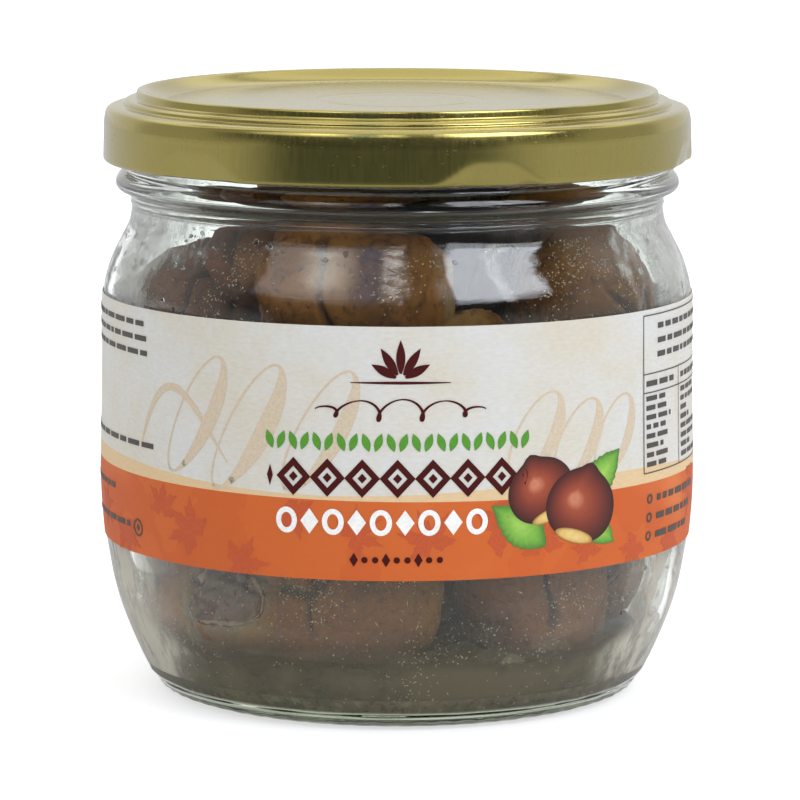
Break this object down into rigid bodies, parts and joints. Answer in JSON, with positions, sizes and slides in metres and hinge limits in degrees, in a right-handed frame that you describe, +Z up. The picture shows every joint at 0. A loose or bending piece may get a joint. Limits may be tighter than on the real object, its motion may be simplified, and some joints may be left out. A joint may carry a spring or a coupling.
{
  "type": "jar of roasted chestnuts",
  "caption": "Squat clear glass preserving jar filled with peeled roasted chestnuts, shut with a gold-coloured twist-off lid and wrapped in a paper label.",
  "frame": {"origin": "middle of the jar's base, on the surface it stands on", "axes": "+Z up along the jar's axis, front of the label towards -Y, +X to the right of someone facing the front"},
  "size_m": [0.0876, 0.0876, 0.0882],
  "materials": {
    "glass": "clear pressed glass with a faint green edge",
    "lid_metal": "gold lacquer on tinplate, satin",
    "label_paper": "uncoated printed paper, cream above an orange band",
    "chestnut": "peeled roasted nut, brown and slightly moist"
  },
  "bodies": {
    "root": {"jar": "glass", "lid": "lid_metal", "label": "label_paper", "chestnuts": "chestnut"}
  },
  "joints": []
}
